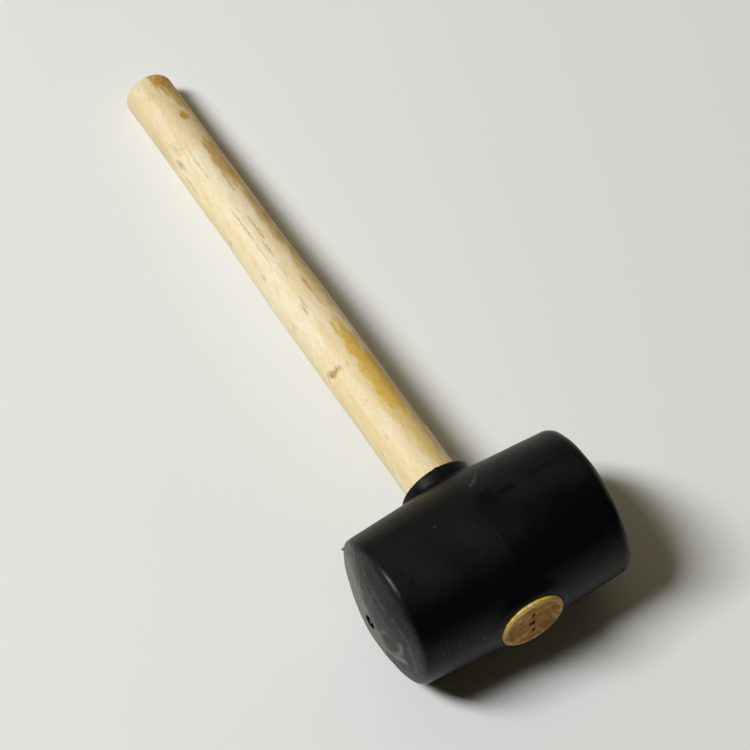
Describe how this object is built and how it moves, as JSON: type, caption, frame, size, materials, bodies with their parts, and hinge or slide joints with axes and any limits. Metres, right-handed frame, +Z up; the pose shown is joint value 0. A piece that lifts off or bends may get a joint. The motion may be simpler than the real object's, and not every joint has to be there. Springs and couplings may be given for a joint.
{
  "type": "rubber mallet",
  "caption": "Mallet with a black moulded rubber barrel head, domed at both faces, and a plain turned wooden handle whose flared end holds the head.",
  "frame": {"origin": "middle of the footprint, on the plane that the mallet lies on", "axes": "+Z up; +Y along the head, from one striking face to the other; +X from the tip of the grip towards the head. The crest of the head and the tip of the handle both touch z = 0, so the handle slopes down towards -X by 5.30 degrees."},
  "size_m": [0.348, 0.1244, 0.08],
  "materials": {
    "rubber": "dull black moulded rubber, scuffed grey on the striking faces",
    "handle_wood": "pale cream hardwood under thin semi-gloss lacquer, bare end grain"
  },
  "bodies": {
    "root": {"rubber_head": "rubber", "wooden_handle": "handle_wood"}
  },
  "joints": []
}
